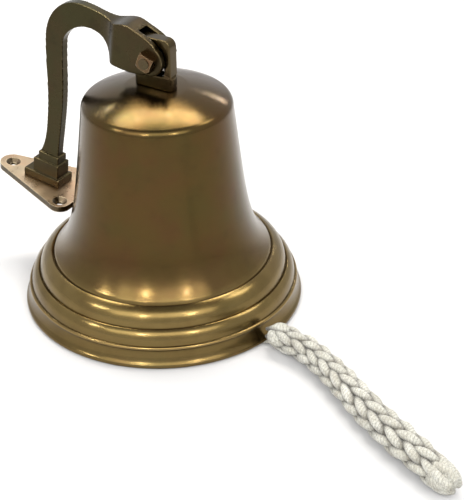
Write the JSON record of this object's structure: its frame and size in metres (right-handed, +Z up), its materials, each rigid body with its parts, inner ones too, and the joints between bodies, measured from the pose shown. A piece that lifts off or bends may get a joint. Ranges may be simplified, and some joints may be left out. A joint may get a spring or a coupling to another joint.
{
  "type": "ship bell",
  "caption": "Brass ship bell with a moulded rim, a crown staple held in a folding wall bracket, a swinging clapper and a braided cotton lanyard.",
  "frame": {"origin": "centre of the bell's mouth, in the plane of the rim", "axes": "+Z up along the bell's axis; +X in the plane of the bracket, from the arm towards the bell; +Y along the pivot bolt, away from its nut"},
  "size_m": [0.4285, 0.2122, 0.2153],
  "materials": {
    "bell_brass": "antique patina, satin polished",
    "dark_brass": "dark antique cast brass",
    "plate_brass": "worn reddish brass",
    "bright_brass": "turned brass",
    "steel": "zinc plated",
    "cotton": "natural cotton"
  },
  "bodies": {
    "bell": {"bell_body": "bell_brass", "crown_staple": "dark_brass", "crown_washer": "bright_brass", "crown_lock_washer": "steel", "crown_nut": "bright_brass", "clapper_clevis": "bright_brass", "clapper_pin": "steel", "clapper_split_pin": "steel", "lanyard_loop": "cotton", "lanyard_braid": "cotton", "lanyard_tail_knot": "cotton"},
    "clapper": {"clapper_rod": "dark_brass", "clapper_ball": "dark_brass", "clapper_tail_eye": "bright_brass"},
    "pivot": {"pivot_bolt": "dark_brass", "pivot_washer": "bright_brass", "pivot_nut": "plate_brass"},
    "bracket": {"bracket_arm": "dark_brass", "wall_plate": "plate_brass", "foot_screws": "steel"}
  },
  "joints": [
    {"name": "clapper_swing", "type": "hinge", "parent": "bell", "child": "clapper", "pos_m": [0, 0, 0.136], "axis": [0.2588, 0.9659, 0], "range_deg": [-28, 28], "deforming": ["lanyard_loop"]},
    {"name": "pivot_lift", "type": "slide", "parent": "bell", "child": "pivot", "axis": [0, 0, 1], "range_m": [0, 0.0047]},
    {"name": "bracket_swing", "type": "hinge", "parent": "pivot", "child": "bracket", "pos_m": [0, 0, 0.1883], "axis": [0, 1, 0], "range_deg": [0, 120]}
  ]
}
